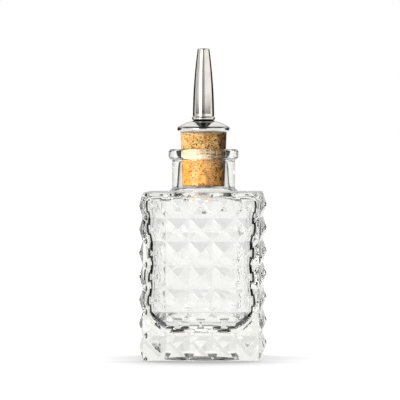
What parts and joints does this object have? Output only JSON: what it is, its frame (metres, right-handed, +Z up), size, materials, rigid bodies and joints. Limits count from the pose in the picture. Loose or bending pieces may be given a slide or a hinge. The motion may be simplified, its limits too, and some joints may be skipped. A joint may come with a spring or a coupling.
{
  "type": "bitters bottle",
  "caption": "Square pressed glass dash bottle with a diamond pattern, round neck, tapered cork stopper and slim steel dasher spout.",
  "frame": {"origin": "centre of the bottle's base, on the surface that it stands on", "axes": "+Z up along the neck and the spout, -Y towards the front face of the square body, +X towards its right face"},
  "size_m": [0.0558, 0.0558, 0.1397],
  "materials": {
    "clear_glass": "clear pressed flint glass, fire polished",
    "natural_cork": "ground natural cork with open pores",
    "polished_steel": "mirror polished stainless steel",
    "satin_steel": "fine satin stainless steel",
    "turned_steel": "plain turned stainless steel"
  },
  "bodies": {
    "bottle": {"glass_bottle": "clear_glass"},
    "cork": {"cork_stopper": "natural_cork"},
    "dasher": {"cap_dome": "polished_steel", "cap_plate": "turned_steel", "stem_tube": "turned_steel", "stem_washer": "turned_steel", "spout_cone": "satin_steel", "nozzle_plug": "turned_steel"}
  },
  "joints": [
    {"name": "stopper_pull", "type": "slide", "parent": "bottle", "child": "cork", "axis": [0, 0, 1], "range_m": [0, 0.03]},
    {"name": "dasher_twist", "type": "hinge", "parent": "cork", "child": "dasher", "pos_m": [0, 0, 0.09], "axis": [0, 0, 1], "continuous": true}
  ]
}
